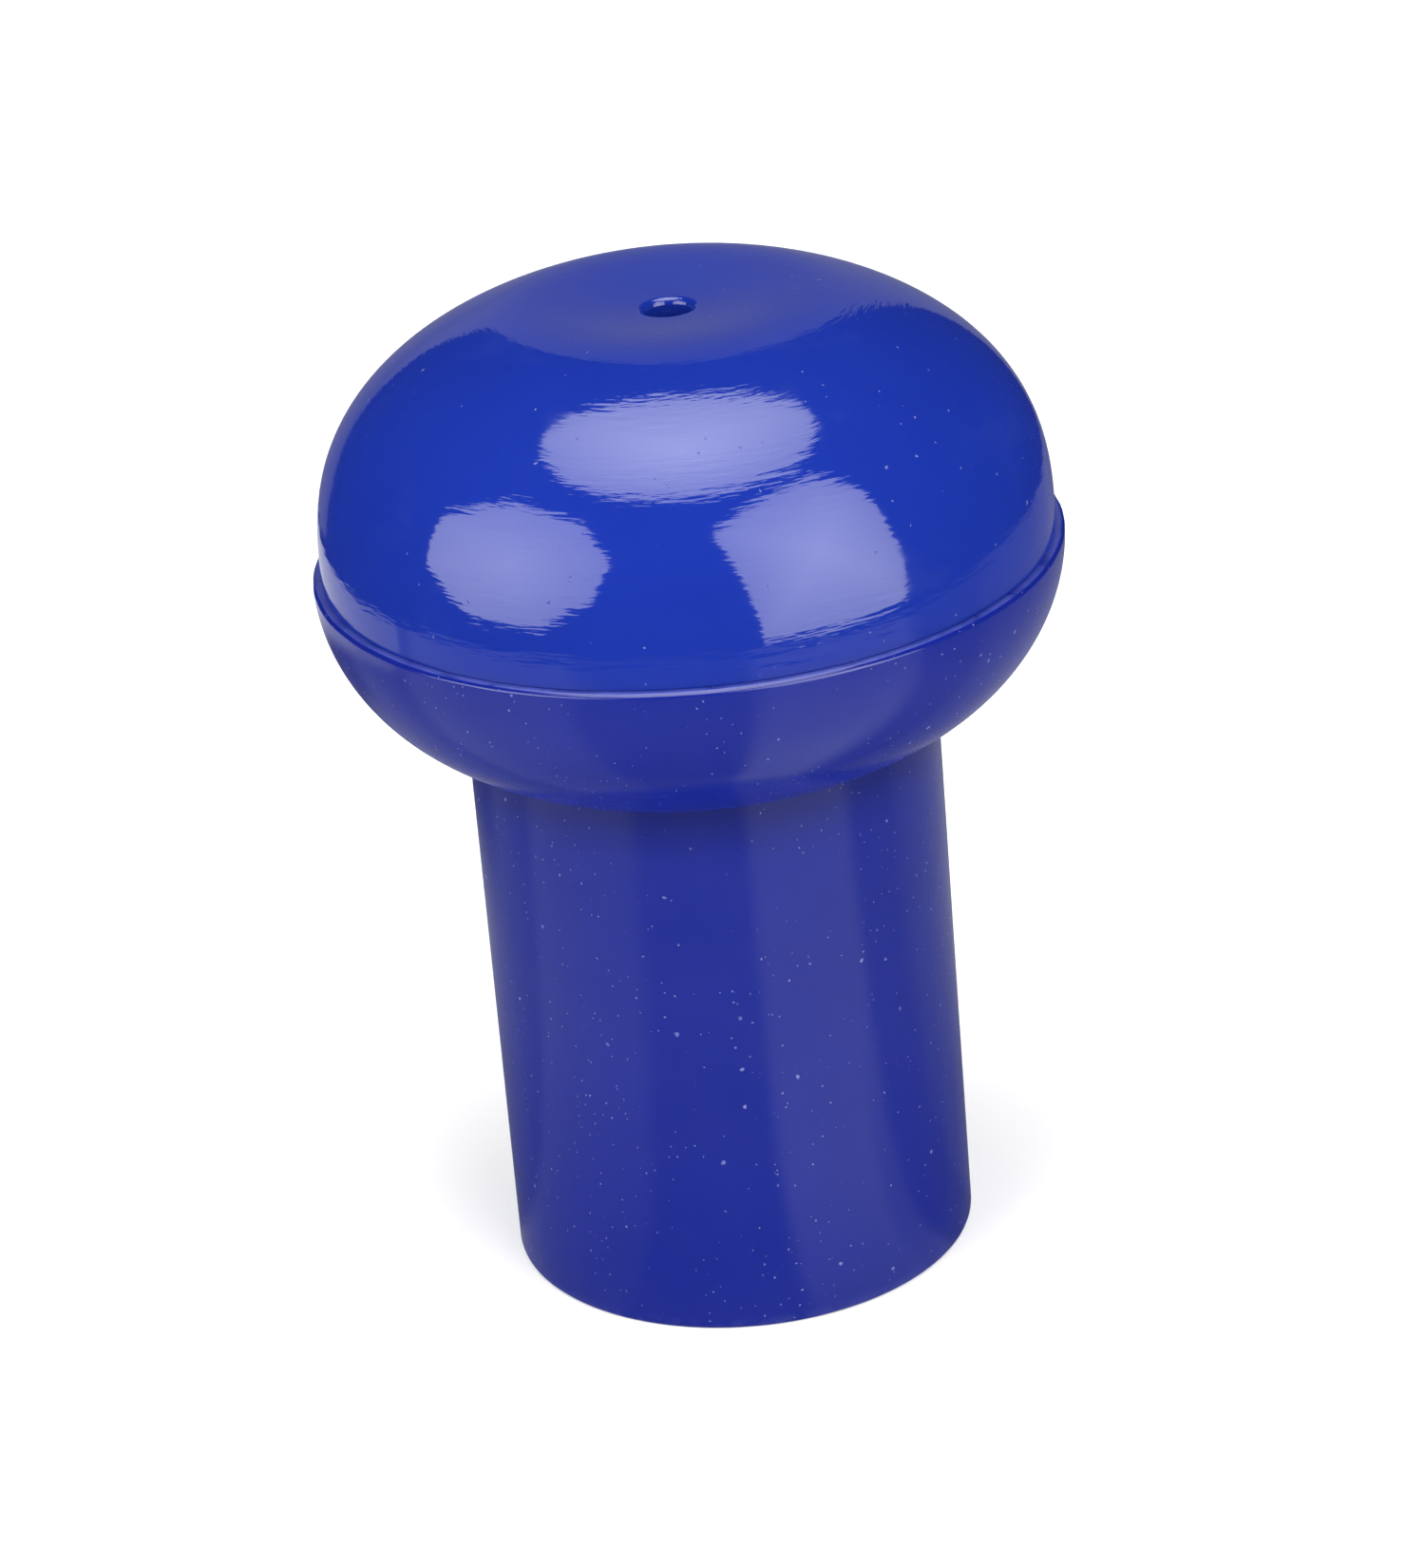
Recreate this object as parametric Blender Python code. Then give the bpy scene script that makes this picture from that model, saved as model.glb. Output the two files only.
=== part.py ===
"""Thumb-operated pipette filler bulb: a soft vented dome on a satin body with a gripping stem.

Metres, +Z up. The origin is the centre of the stem's open end, on the surface the bulb stands on,
and +Z is the axis of symmetry. The dome's crown is the moving piece: it slides down the axis while
the dome's wall folds under it.
"""
import bpy
import bmesh
from math import cos, pi, radians, sin
from mathutils import Matrix

MM = 0.001

# Driving dimensions, in metres
HEAD_RADIUS = 19.66 * MM        # largest radius of the bowl, just under the joint line
DOME_RADIUS = 19.2 * MM         # the dome's outline, set back from the bowl's rim
STEM_RADIUS = 12.5 * MM
SEAM_Z = 40.2 * MM              # joint line between the dome and the bowl
BOWL_DEPTH = 11.0 * MM          # from the widest level down to where the bowl would close
BOWL_CENTRE_Z = SEAM_Z - 0.3 * MM
DOME_CENTRE_Z = SEAM_Z + 0.74 * MM
DOME_HEIGHT = 13.83 * MM        # from the dome's centre level to its undished apex
DISH_RADIUS = 9.4 * MM
DISH_DEPTH = 1.64 * MM
GAP = 0.3 * MM                  # clearance between pieces that touch on the real object

DOME_WALL = 1.7 * MM
BODY_WALL = 2.0 * MM
CROWN_RADIUS = 12.0 * MM        # the crown moves as one piece inside this radius
VENT_SEAT_RADIUS = 1.25 * MM    # hole in the crown that the vent bush sits in
VENT_RADIUS = 0.5 * MM          # air hole through the bush

STEM_BORE = 10.6 * MM
STOP_Z = 23.4 * MM              # underside of the stop that the filter stack bears on
SEAL_MOUTH_RADIUS = 5.0 * MM
SEAL_THROAT_RADIUS = 3.25 * MM

# Exponents of the turned outlines: (r / R) ** N + (height / H) ** M = 1
DOME_N, DOME_M = 2.0, 2.5
BOWL_N, BOWL_M = 3.0, 1.9

# Places that follow from the driving dimensions
RIM_TOP_Z = SEAM_Z - GAP / 2
FLANGE_Z = SEAM_Z + GAP / 2
RIM_INNER_RADIUS = HEAD_RADIUS - 2.16 * MM
LEDGE_Z = SEAM_Z - 4.2 * MM
GRID_RADIUS = 8.2 * MM            # open width of the filter housing's rings
INSERT_RADIUS = STEM_BORE - GAP   # pieces that slide into the stem's bore
DISH_Z = DOME_CENTRE_Z + DOME_HEIGHT - DISH_DEPTH   # the dome's surface at the vent
BOSS_Z = DISH_Z - 2.9 * MM        # underside of the boss that the vent bush is clamped on
CAP_LOW_Z = STOP_Z - 2.8 * MM     # filter cap, then the membrane, then the filter seat
DISC_Z = STOP_Z - 3.5 * MM
SEAT_HIGH_Z = STOP_Z - 3.8 * MM
SEAT_LOW_Z = STOP_Z - 8.4 * MM
GROOVE_Z = SEAT_LOW_Z + 2.2 * MM  # middle of the O-ring's groove
SEAL_LOW_Z = 3.3 * MM
SEAL_HIGH_Z = SEAT_LOW_Z - GAP

COLOURS = {                       # base colour, roughness
    "body_blue": ((0.020, 0.040, 0.300), 0.42),
    "dome_blue": ((0.012, 0.030, 0.330), 0.12),
    "bush_blue": ((0.020, 0.040, 0.300), 0.30),
    "ring_white": ((0.780, 0.780, 0.760), 0.45),
    "silicone": ((0.620, 0.640, 0.640), 0.50),
    "membrane": ((0.900, 0.900, 0.880), 0.80),
    "nitrile": ((0.015, 0.015, 0.016), 0.55),
}


def clear_scene():
    for item in list(bpy.data.objects):
        bpy.data.objects.remove(item, do_unlink=True)


def material(name):
    colour, roughness = COLOURS[name]
    made = bpy.data.materials.get(name)
    if made is None:
        made = bpy.data.materials.new(name)
        made.use_nodes = True
        shader = made.node_tree.nodes["Principled BSDF"]
        shader.inputs["Base Color"].default_value = (*colour, 1.0)
        shader.inputs["Roughness"].default_value = roughness
        shader.inputs["Metallic"].default_value = 0.0
    return made


def finish(name, mesh_bm, material_name, sharp_degrees=32):
    """Puts a bmesh into the scene as one smooth-shaded object."""
    mesh = bpy.data.meshes.new(name)
    mesh_bm.to_mesh(mesh)
    mesh_bm.free()
    mesh.shade_smooth()
    mesh.set_sharp_from_angle(angle=radians(sharp_degrees))
    mesh.materials.append(material(material_name))
    made = bpy.data.objects.new(name, mesh)
    bpy.context.scene.collection.objects.link(made)
    return made


def turned(profile, segments):
    """Turns a closed (radius, height) outline about Z into a bmesh."""
    made = bmesh.new()
    points = [made.verts.new((radius, 0.0, height)) for radius, height in profile]
    edges = [made.edges.new((a, b)) for a, b in zip(points, points[1:] + points[:1])]
    bmesh.ops.spin(made, geom=points + edges, cent=(0, 0, 0), axis=(0, 0, 1),
                   angle=2 * pi, steps=segments, use_merge=True)
    bmesh.ops.remove_doubles(made, verts=made.verts, dist=1e-7)
    bmesh.ops.recalc_face_normals(made, faces=made.faces)
    return made


def arc(centre, radius, start, end, steps):
    """Points of an arc in the (radius, height) plane, angles in degrees."""
    turn = [radians(start + (end - start) * i / steps) for i in range(steps + 1)]
    return [(centre[0] + radius * cos(a), centre[1] + radius * sin(a)) for a in turn]


def dome_height(radius, inset):
    """Height of the dome's surface at a radius."""
    reach = min(radius / (DOME_RADIUS - inset), 1.0)
    rise = (DOME_HEIGHT - inset) * (1 - reach ** DOME_N) ** (1 / DOME_M)
    dish = DISH_DEPTH * max(0.0, 1 - (radius / DISH_RADIUS) ** 2) ** 2
    return DOME_CENTRE_Z + rise - dish


def dome_arc(start_angle, end_radius, inset, steps):
    """The dome's outline from an angle above the equator up to a radius near the top."""
    span = DOME_RADIUS - inset
    low = sin(radians(start_angle))
    high = (1 - (end_radius / span) ** 2) ** 0.5
    points = []
    for i in range(steps + 1):
        level = low + (high - low) * i / steps
        radius = span * (1 - level ** 2) ** 0.5
        points.append((radius, dome_height(radius, inset)))
    return points


def bowl_arc(inset, end_radius, start_z, steps):
    """The bowl's outline from a level just under the rim in and down to end_radius."""
    across = HEAD_RADIUS - inset
    depth = BOWL_DEPTH - inset * 0.9
    drop = (1 - (end_radius / across) ** BOWL_N) ** (1 / BOWL_M)
    first = (BOWL_CENTRE_Z - start_z) / depth
    points = []
    for i in range(steps + 1):
        level = first + (drop - first) * sin(pi / 2 * i / steps)
        radius = across * (1 - level ** BOWL_M) ** (1 / BOWL_N)
        points.append((radius, BOWL_CENTRE_Z - depth * level))
    return points


def body_shell():
    """Bowl and stem in one moulding, open at both ends, with a stop inside the stem."""
    chamfer = 0.25 * MM
    stop_lip = 9.4 * MM
    outside = [(STEM_RADIUS - chamfer, 0.0), (STEM_RADIUS, chamfer)]
    outside += list(reversed(bowl_arc(0.0, STEM_RADIUS, BOWL_CENTRE_Z, 11)))
    outside += [(HEAD_RADIUS, RIM_TOP_Z - 0.12 * MM), (HEAD_RADIUS - 0.12 * MM, RIM_TOP_Z)]
    inside = [(RIM_INNER_RADIUS, RIM_TOP_Z), (RIM_INNER_RADIUS, LEDGE_Z)]
    inside += bowl_arc(BODY_WALL, 11.2 * MM, LEDGE_Z, 6)
    inside += [(10.9 * MM, 31.3 * MM), (10.9 * MM, STOP_Z + 1.5 * MM), (stop_lip, STOP_Z + 1.5 * MM)]
    inside += [(stop_lip, STOP_Z), (STEM_BORE, STOP_Z), (STEM_BORE, chamfer)]
    inside += [(STEM_BORE + chamfer, 0.0)]
    finish("body_shell", turned(outside + inside, 56), "body_blue")


def dome_wall():
    """The dome from its crown down to the foot, which stands on the bowl's rim, and a skirt inside it."""
    skirt_inner, skirt_outer = 16.1 * MM, RIM_INNER_RADIUS - GAP
    foot_edge = 0.12 * MM
    edge = CROWN_RADIUS + GAP / 2
    profile = [(skirt_inner, LEDGE_Z + 1.4 * MM), (skirt_outer, LEDGE_Z + 1.4 * MM)]
    profile += [(skirt_outer, FLANGE_Z), (DOME_RADIUS - foot_edge, FLANGE_Z)]
    profile += [(DOME_RADIUS, FLANGE_Z + foot_edge)]
    profile += dome_arc(0.0, edge, 0.0, 11)
    profile += list(reversed(dome_arc(3.0, edge, DOME_WALL, 7)))
    profile += [(skirt_inner, FLANGE_Z + 0.35 * MM)]
    finish("dome_wall", turned(profile, 56), "dome_blue")


def dome_crown():
    """The top of the dome, dished for a thumb, with a thick boss round the vent."""
    edge = CROWN_RADIUS - GAP / 2
    boss = 4.2 * MM
    lead_in = 0.4 * MM
    steps = 8
    top = []
    for i in range(steps + 1):
        radius = edge + (VENT_SEAT_RADIUS + lead_in - edge) * i / steps
        top.append((radius, dome_height(radius, 0.0)))
    mouth = (VENT_SEAT_RADIUS, dome_height(VENT_SEAT_RADIUS, 0.0) - lead_in)
    under = [(VENT_SEAT_RADIUS, BOSS_Z), (boss, BOSS_Z), (boss + 0.6 * MM, dome_height(boss, DOME_WALL))]
    for radius in (7.0 * MM, 9.0 * MM, 10.5 * MM, edge):
        under.append((radius, dome_height(radius, DOME_WALL)))
    finish("dome_crown", turned(top + [mouth] + under, 48), "dome_blue")


def vent_bush():
    """Small bush that keeps the vent round: a barrel through the crown and a flange under it."""
    barrel, chamfer = VENT_SEAT_RADIUS - GAP, 0.12 * MM
    flange, flange_thick = 3.4 * MM, 0.8 * MM
    top_z = DISH_Z - 1.1 * MM
    flange_z = BOSS_Z - GAP
    profile = [(barrel - chamfer, top_z), (barrel, top_z - chamfer), (barrel, flange_z)]
    profile += [(flange, flange_z), (flange, flange_z - flange_thick)]
    profile += [(VENT_RADIUS, flange_z - flange_thick), (VENT_RADIUS, top_z - chamfer)]
    profile += [(VENT_RADIUS + chamfer, top_z)]
    finish("vent_bush", turned(profile, 28), "bush_blue")


def clamp_ring():
    """Ring inside the dome's skirt: it presses the skirt against the rim, and stands on the ledge."""
    inner, outer = 14.6 * MM, 15.8 * MM
    foot = RIM_INNER_RADIUS - GAP
    foot_z = LEDGE_Z + GAP
    profile = [(inner, foot_z), (foot, foot_z), (foot, foot_z + 0.8 * MM), (outer, foot_z + 0.8 * MM)]
    profile += [(outer, SEAM_Z), (outer - 0.3 * MM, SEAM_Z + 0.3 * MM), (inner + 0.3 * MM, SEAM_Z + 0.3 * MM)]
    profile += [(inner, SEAM_Z)]
    finish("clamp_ring", turned(profile, 44), "ring_white")


def combine(host, name, size, place, turn, operation):
    """Joins a block to an object, or cuts it out, and keeps the block as a hidden guide."""
    block = bmesh.new()
    bmesh.ops.create_cube(block, size=1.0)
    bmesh.ops.scale(block, vec=size, verts=block.verts)
    bmesh.ops.translate(block, vec=place, verts=block.verts)
    bmesh.ops.rotate(block, matrix=Matrix.Rotation(turn, 3, "Z"), cent=(0, 0, 0), verts=block.verts)
    mesh = bpy.data.meshes.new(name)
    block.to_mesh(mesh)
    block.free()
    guide = bpy.data.objects.new(name, mesh)
    bpy.context.scene.collection.objects.link(guide)
    guide.hide_render = True
    guide.display_type = "WIRE"
    modifier = host.modifiers.new(name, "BOOLEAN")
    modifier.operation = operation
    modifier.object = guide


def grid_bars(host, level):
    """Three bars right across a ring, so that air passes and the membrane is held flat."""
    count, width, thickness = 3, 0.9 * MM, 1.0 * MM
    reach = GRID_RADIUS + 0.6 * MM
    for i in range(count):
        size = (2 * reach, width, thickness)
        place = (0, 0, level + thickness / 2)
        combine(host, f"{host.name}_bar_{i}", size, place, pi * i / count, "UNION")


def filter_cap():
    """Upper half of the filter housing: a ring under the stop with bars across it."""
    high, lead_in = STOP_Z - GAP, 0.5 * MM
    profile = [(GRID_RADIUS, CAP_LOW_Z), (INSERT_RADIUS, CAP_LOW_Z), (INSERT_RADIUS, high)]
    profile += [(GRID_RADIUS + lead_in, high), (GRID_RADIUS, high - lead_in)]
    host = finish("filter_cap", turned(profile, 36), "ring_white")
    grid_bars(host, CAP_LOW_Z + 0.02 * MM)


def filter_disc():
    """Water-repelling membrane that lets air through and keeps liquid out of the dome."""
    thick = 0.4 * MM
    made = bmesh.new()
    bmesh.ops.create_cone(made, cap_ends=True, cap_tris=False, segments=36,
                          radius1=9.8 * MM, radius2=9.8 * MM, depth=thick)
    bmesh.ops.translate(made, vec=(0, 0, DISC_Z + thick / 2), verts=made.verts)
    finish("filter_disc", made, "membrane")


def filter_seat():
    """Lower half of the filter housing: a funnel from the seal's throat, grooved for the O-ring."""
    groove_radius, half_groove = 8.8 * MM, 0.9 * MM
    port, step = 3.2 * MM, 1.2 * MM
    profile = [(port, SEAT_LOW_Z), (INSERT_RADIUS, SEAT_LOW_Z), (INSERT_RADIUS, GROOVE_Z - half_groove)]
    profile += [(groove_radius, GROOVE_Z - half_groove), (groove_radius, GROOVE_Z + half_groove)]
    profile += [(INSERT_RADIUS, GROOVE_Z + half_groove), (INSERT_RADIUS, SEAT_HIGH_Z)]
    profile += [(GRID_RADIUS, SEAT_HIGH_Z), (GRID_RADIUS, SEAT_HIGH_Z - step), (port, SEAT_LOW_Z + step)]
    host = finish("filter_seat", turned(profile, 36), "ring_white")
    grid_bars(host, SEAT_HIGH_Z - 1.02 * MM)


def filter_o_ring():
    """Seals the filter housing in the stem's bore."""
    thick = 0.6 * MM
    profile = arc((INSERT_RADIUS - thick, GROOVE_Z), thick, 0, 360, 12)[:-1]
    finish("filter_o_ring", turned(profile, 36), "nitrile", 60)


def pipette_seal():
    """Silicone sleeve that grips a pipette: a tapered socket with wiper rings, waisted outside."""
    low, high = SEAL_LOW_Z, SEAL_HIGH_Z
    waist, flange, cone = 8.6 * MM, 1.8 * MM, 3.0 * MM
    outside = [(INSERT_RADIUS, low), (INSERT_RADIUS, low + flange), (waist, low + cone)]
    outside += [(waist, high - cone), (INSERT_RADIUS, high - flange), (INSERT_RADIUS, high)]
    inside = [(SEAL_THROAT_RADIUS + 0.5 * MM, high), (SEAL_THROAT_RADIUS, high - 0.8 * MM)]
    rings, relief = 4, 0.45 * MM
    taper_high, taper_low = high - 1.4 * MM, low + 1.4 * MM
    pitch = (taper_high - taper_low) / rings
    widening = SEAL_MOUTH_RADIUS - 0.7 * MM - SEAL_THROAT_RADIUS
    for i in range(rings):
        crest_z = taper_high - pitch * i
        crest = SEAL_THROAT_RADIUS + widening * i / rings
        inside += [(crest, crest_z), (crest + relief, crest_z - pitch * 0.55)]
    inside += [(SEAL_MOUTH_RADIUS - 0.35 * MM, taper_low), (SEAL_MOUTH_RADIUS + 0.4 * MM, low)]
    finish("pipette_seal", turned(outside + inside, 36), "silicone")


def seal_collar():
    """Pressed-in ring that keeps the seal in the stem, with two notches to lift it out by."""
    low, high = 0.4 * MM, 3.0 * MM
    inner, funnel, corner = 5.8 * MM, 0.8 * MM, 0.3 * MM
    profile = [(inner + funnel, low), (INSERT_RADIUS - corner, low), (INSERT_RADIUS, low + corner)]
    profile += [(INSERT_RADIUS, high), (inner, high), (inner, low + funnel)]
    host = finish("seal_collar", turned(profile, 40), "bush_blue")
    for i in range(2):
        size = (2.2 * MM, 2.4 * MM, 2.0 * MM)
        place = (INSERT_RADIUS - 0.4 * MM, 0, low)
        combine(host, f"collar_notch_{i}", size, place, pi * i, "DIFFERENCE")


def main():
    clear_scene()
    body_shell()
    dome_wall()
    dome_crown()
    vent_bush()
    clamp_ring()
    filter_cap()
    filter_disc()
    filter_seat()
    filter_o_ring()
    pipette_seal()
    seal_collar()


main()
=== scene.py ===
"""Looks of the pipette filler bulb: a glossy vented dome on a satin bowl and stem.

The small pieces inside it (clamp ring, filter housing, pipette seal and its collar) are finished too.
Every outline repeats the CAD model's, with finer steps and softened edges, so nothing changes size.
Metres throughout; outlines are lists of (radius, height) that are turned about Z.
"""
from math import cos, hypot, pi, radians, sin

import bmesh
import bpy
from mathutils import Matrix, Vector, noise


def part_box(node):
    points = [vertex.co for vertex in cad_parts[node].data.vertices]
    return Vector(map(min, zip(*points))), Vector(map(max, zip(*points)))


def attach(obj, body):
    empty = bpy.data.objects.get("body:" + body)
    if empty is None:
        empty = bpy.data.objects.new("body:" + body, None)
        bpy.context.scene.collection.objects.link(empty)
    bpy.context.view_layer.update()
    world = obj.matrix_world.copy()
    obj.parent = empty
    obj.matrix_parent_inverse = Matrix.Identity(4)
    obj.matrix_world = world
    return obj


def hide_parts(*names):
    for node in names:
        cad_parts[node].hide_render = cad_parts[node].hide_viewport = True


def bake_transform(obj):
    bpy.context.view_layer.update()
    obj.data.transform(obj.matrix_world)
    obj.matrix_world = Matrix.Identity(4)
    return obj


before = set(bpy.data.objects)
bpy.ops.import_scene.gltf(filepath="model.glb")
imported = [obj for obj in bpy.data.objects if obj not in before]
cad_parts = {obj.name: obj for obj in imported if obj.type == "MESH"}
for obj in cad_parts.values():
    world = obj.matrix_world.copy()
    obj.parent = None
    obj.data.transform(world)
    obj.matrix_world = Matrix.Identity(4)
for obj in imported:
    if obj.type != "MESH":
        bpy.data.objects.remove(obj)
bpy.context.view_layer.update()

MM = 0.001

# ---------------------------------------------------------------- places read from the frame
BODY_LOW, BODY_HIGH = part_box("body_shell")
RING_LOW, RING_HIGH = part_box("clamp_ring")
CAP_LOW, CAP_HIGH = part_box("filter_cap")
DISC_LOW, DISC_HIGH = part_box("filter_disc")
SEAT_LOW, SEAT_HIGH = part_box("filter_seat")
O_RING_LOW, O_RING_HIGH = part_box("filter_o_ring")
SEAL_LOW, SEAL_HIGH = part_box("pipette_seal")
COLLAR_LOW, COLLAR_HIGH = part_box("seal_collar")
BUSH_LOW, BUSH_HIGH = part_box("vent_bush")

# ---------------------------------------------------------------- the object's own measures
HEAD_RADIUS = BODY_HIGH.x
DOME_RADIUS = HEAD_RADIUS - 0.46 * MM   # the dome's foot stands back from the bowl's rim
STEM_RADIUS = 12.5 * MM
SEAM_Z = BODY_HIGH.z + 0.15 * MM        # middle of the joint between dome and bowl
JOINT = 0.01 * MM                       # half the height of the visible joint
BOWL_CENTRE_Z = SEAM_Z - 0.3 * MM
BOWL_DEPTH = 11.0 * MM
DOME_CENTRE_Z = SEAM_Z + 0.74 * MM
DOME_HEIGHT = 13.83 * MM
DISH_RADIUS, DISH_DEPTH = 9.4 * MM, 1.64 * MM
DOME_WALL, BODY_WALL = 1.7 * MM, 2.0 * MM
BOWL_N, BOWL_M, DOME_M = 3.0, 1.9, 2.5  # exponents of the turned outlines
DISH_Z = DOME_CENTRE_Z + DOME_HEIGHT - DISH_DEPTH
BOSS_Z = DISH_Z - 2.9 * MM              # underside of the boss round the vent
BOSS_RADIUS = 4.2 * MM
VENT_SEAT_RADIUS = 1.25 * MM
VENT_RADIUS = 0.5 * MM
RIM_INNER_RADIUS = HEAD_RADIUS - 2.16 * MM
LEDGE_Z = SEAM_Z - 4.2 * MM
STEM_BORE = 10.6 * MM
INSERT_RADIUS = SEAL_HIGH.x             # pieces that slide into the stem's bore
GRID_RADIUS = 8.2 * MM
BAR_HEIGHT = 1.0 * MM                   # of the bars across the filter's housing

FINE, MEDIUM = 224, 128                 # steps round large and small turned pieces
SHARP_FINE, SHARP_MEDIUM = 28, 32       # degrees above which an edge is shaded sharp

# ---------------------------------------------------------------- camera
LENS, SENSOR = 120.9, 36                # mm; a long lens, close to the object
CAMERA_PLACE = (0.2 * MM, -255.1 * MM, 143.1 * MM)
CAMERA_PITCH, CAMERA_ROLL = 24.62, 4.92 # degrees down, and the object's lean to the left


# ---------------------------------------------------------------- outlines
def softened(corners, steps=5):
    """An outline with its corners rounded. A corner is (radius, height) or (radius, height, cut-back)."""
    points = []
    for i, corner in enumerate(corners):
        here = Vector(corner[:2])
        cut = corner[2] if len(corner) > 2 else 0.0
        if not cut:
            points.append(tuple(here))
            continue
        before = Vector(corners[i - 1][:2]) - here
        after = Vector(corners[(i + 1) % len(corners)][:2]) - here
        start = here + before.normalized() * min(cut, before.length * 0.48)
        end = here + after.normalized() * min(cut, after.length * 0.48)
        for k in range(steps + 1):
            s = k / steps
            points.append(tuple(start * (1 - s) ** 2 + here * 2 * s * (1 - s) + end * s ** 2))
    return points


def dome_height(radius, inset=0.0):
    """Height of the dome's surface at a radius, inset inwards by a wall's thickness."""
    reach = min(radius / (DOME_RADIUS - inset), 1.0)
    rise = (DOME_HEIGHT - inset) * (1 - reach ** 2) ** (1 / DOME_M)
    dish = DISH_DEPTH * max(0.0, 1 - (radius / DISH_RADIUS) ** 2) ** 2
    return DOME_CENTRE_Z + rise - dish


def dome_flank(first_angle, last_angle, inset, steps):
    """The dome's outline between two angles above its equator, 90 degrees being the apex."""
    points = []
    for i in range(steps + 1):
        angle = radians(first_angle + (last_angle - first_angle) * i / steps)
        radius = (DOME_RADIUS - inset) * cos(angle)
        points.append((radius, dome_height(radius, inset)))
    return points


def dome_top(first_radius, last_radius, inset, steps):
    """The dome's outline between two radii, without its end points."""
    radii = [first_radius + (last_radius - first_radius) * i / steps for i in range(1, steps)]
    return [(radius, dome_height(radius, inset)) for radius in radii]


def bowl_flank(inset, end_radius, start_z, steps):
    """The bowl's outline from a level under the rim, in and down to end_radius."""
    across = HEAD_RADIUS - inset
    depth = BOWL_DEPTH - inset * 0.9
    last = (1 - (end_radius / across) ** BOWL_N) ** (1 / BOWL_M)
    first = (BOWL_CENTRE_Z - start_z) / depth
    points = []
    for i in range(steps + 1):
        level = first + (last - first) * sin(pi / 2 * i / steps)
        radius = across * (1 - level ** BOWL_M) ** (1 / BOWL_N)
        points.append((radius, BOWL_CENTRE_Z - depth * level))
    return points


CREASE_Z = bowl_flank(0.0, STEM_RADIUS, BOWL_CENTRE_Z, 1)[-1][1]   # where the bowl meets the stem


# ---------------------------------------------------------------- mesh helpers
def placed(name, made, sharp):
    """Puts a bmesh into the scene as one smooth-shaded object."""
    bmesh.ops.recalc_face_normals(made, faces=made.faces)
    mesh = bpy.data.meshes.new(name)
    made.to_mesh(mesh)
    made.free()
    mesh.shade_smooth()
    mesh.set_sharp_from_angle(angle=radians(sharp))
    piece = bpy.data.objects.new(name, mesh)
    bpy.context.scene.collection.objects.link(piece)
    return piece


def turned(name, profile, steps=MEDIUM, sharp=SHARP_MEDIUM):
    """A closed (radius, height) outline turned about Z."""
    made = bmesh.new()
    points = [made.verts.new((radius, 0.0, height)) for radius, height in profile]
    edges = [made.edges.new((a, b)) for a, b in zip(points, points[1:] + points[:1])]
    bmesh.ops.spin(made, geom=points + edges, cent=(0, 0, 0), axis=(0, 0, 1),
                   angle=2 * pi, steps=steps, use_merge=True)
    bmesh.ops.remove_doubles(made, verts=made.verts, dist=1e-7)
    return placed(name, made, sharp)


def block(name, size, place, turn, soft):
    """A bar with bevelled long edges, turned about Z into its place."""
    made = bmesh.new()
    bmesh.ops.create_cube(made, size=1.0)
    bmesh.ops.scale(made, vec=size, verts=made.verts)
    bmesh.ops.bevel(made, geom=made.edges[:], offset=soft, segments=3, profile=0.5, affect="EDGES")
    bmesh.ops.translate(made, vec=place, verts=made.verts)
    bmesh.ops.rotate(made, matrix=Matrix.Rotation(turn, 3, "Z"), cent=(0, 0, 0), verts=made.verts)
    return placed(name, made, SHARP_MEDIUM)


def combined(host, tools, operation, sharp=SHARP_MEDIUM):
    """The host joined with the tools, or cut by them, as one plain mesh."""
    for tool in tools:
        modifier = host.modifiers.new(tool.name, "BOOLEAN")
        modifier.operation = operation
        modifier.object = tool
    bpy.context.view_layer.update()
    evaluated = host.evaluated_get(bpy.context.evaluated_depsgraph_get())
    mesh = bpy.data.meshes.new_from_object(evaluated)
    host.modifiers.clear()
    host.data = mesh
    mesh.shade_smooth()
    mesh.set_sharp_from_angle(angle=radians(sharp))
    for tool in tools:
        bpy.data.objects.remove(tool, do_unlink=True)
    return host


def fitted(piece, body, slot, look, *replaced):
    """Gives a piece its body, its look and the CAD nodes it stands for. The slot argument is not used."""
    if body:
        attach(piece, body)
    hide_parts(*replaced)
    piece.data.materials.clear()
    piece.data.materials.append(look)


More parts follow.
